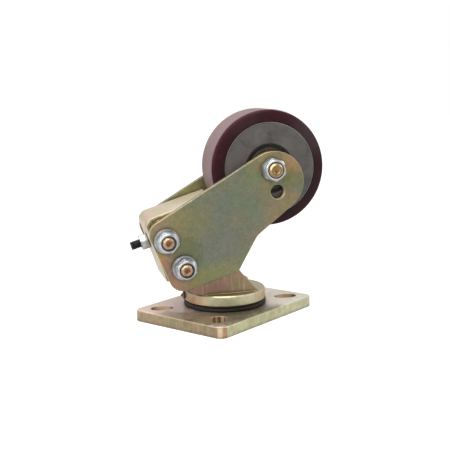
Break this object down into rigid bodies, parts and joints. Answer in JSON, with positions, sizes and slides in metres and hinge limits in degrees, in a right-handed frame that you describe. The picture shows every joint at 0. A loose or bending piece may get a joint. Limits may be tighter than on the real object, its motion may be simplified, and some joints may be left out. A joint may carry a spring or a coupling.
{
  "type": "sprung swivel plate castor",
  "caption": "Sprung swivel castor with a slotted mounting plate, sealed swivel head, sprung rocker arms and a polyurethane-tyred wheel, standing on its plate.",
  "frame": {"origin": "centre of the plate's mounting face, on the swivel axis", "axes": "+Z from the plate to the wheel, +X along the plate's long side, +Y along its short side; at rest the arms are turned 37.5 degrees about Z"},
  "size_m": [0.1582, 0.1405, 0.1804],
  "materials": {
    "plate_zinc": "satin",
    "head_zinc": "satin",
    "arm_zinc": "satin",
    "cover_zinc": "satin",
    "bolt_gold": "satin",
    "nut_zinc": null,
    "bearing_steel": null,
    "spring_steel": null,
    "black_oxide": "satin",
    "shield_zinc": "satin",
    "seal_rubber": null,
    "nylon": null,
    "brass_bush": null,
    "cage_steel": null,
    "hub_iron": null,
    "polyurethane": "gloss"
  },
  "bodies": {
    "base": {"mounting_plate": "plate_zinc", "king_bolt": "nut_zinc", "king_nut": "nut_zinc", "upper_race_ring": "bearing_steel"},
    "swivel_balls": {"lower_race_balls": "bearing_steel", "upper_race_balls": "bearing_steel"},
    "swivel_head": {"swivel_disc": "head_zinc", "swivel_seal": "seal_rubber", "near_cheek": "head_zinc", "far_cheek": "head_zinc", "housing_cover": "cover_zinc", "housing_end_plate": "head_zinc", "pivot_bushes": "brass_bush", "jam_nut": "nut_zinc", "grease_nipple": "black_oxide", "spring": "spring_steel"},
    "rocker": {"near_arm": "arm_zinc", "far_arm": "arm_zinc", "pivot_bolt": "bolt_gold", "thrust_bolt": "bolt_gold", "axle_bolt": "bolt_gold", "pivot_nut": "nut_zinc", "thrust_nut": "nut_zinc", "axle_nut": "nut_zinc", "nut_nylon_rings": "nylon", "bolt_washers": "nut_zinc", "pivot_sleeve": "nut_zinc", "thrust_sleeve": "nut_zinc", "axle_sleeve": "nut_zinc", "bearing_spacer": "nut_zinc", "dust_shields": "shield_zinc", "bearing_inner_rings": "bearing_steel"},
    "spring_seat": {"spring_seat": "nut_zinc"},
    "adjusting_screw": {"adjusting_screw": "black_oxide"},
    "wheel": {"wheel_hub": "hub_iron", "tyre": "polyurethane", "bearing_outer_rings": "bearing_steel"},
    "bearing_cage": {"bearing_balls": "bearing_steel", "bearing_cages": "cage_steel"}
  },
  "joints": [
    {"name": "swivel", "type": "hinge", "parent": "base", "child": "swivel_head", "pos_m": [0, 0, 0.0193], "axis": [0, 0, 1], "continuous": true},
    {"name": "ball_race_turn", "type": "hinge", "parent": "base", "child": "swivel_balls", "pos_m": [0, 0, 0.0125], "axis": [0, 0, 1], "continuous": true},
    {"name": "rocker_swing", "type": "hinge", "parent": "swivel_head", "child": "rocker", "pos_m": [-0.03284, 0.0252, 0.0511], "axis": [0.6088, 0.7934, 0], "range_deg": [0, 14], "stiffness_Nm_per_rad": 58.7, "springref_deg": -8.31, "deforming": ["spring"]},
    {"name": "spring_seat_slide", "type": "slide", "parent": "swivel_head", "child": "spring_seat", "axis": [0.7599, -0.5831, 0.2874], "range_m": [0, 0.0068]},
    {"name": "screw_adjust", "type": "slide", "parent": "swivel_head", "child": "adjusting_screw", "axis": [-0.7599, 0.5831, -0.2874], "range_m": [0, 0.004]},
    {"name": "wheel_spin", "type": "hinge", "parent": "rocker", "child": "wheel", "pos_m": [0.02888, -0.02216, 0.1304], "axis": [0.6088, 0.7934, 0], "continuous": true},
    {"name": "bearing_cage_turn", "type": "hinge", "parent": "rocker", "child": "bearing_cage", "pos_m": [0.02888, -0.02216, 0.1304], "axis": [0.6088, 0.7934, 0], "continuous": true}
  ],
  "couplings": [
    {"joint": "ball_race_turn", "follows": "swivel", "ratio": 0.5},
    {"joint": "spring_seat_slide", "follows": "rocker_swing", "m_per_rad": 0.0273},
    {"joint": "bearing_cage_turn", "follows": "wheel_spin", "ratio": 0.617}
  ]
}
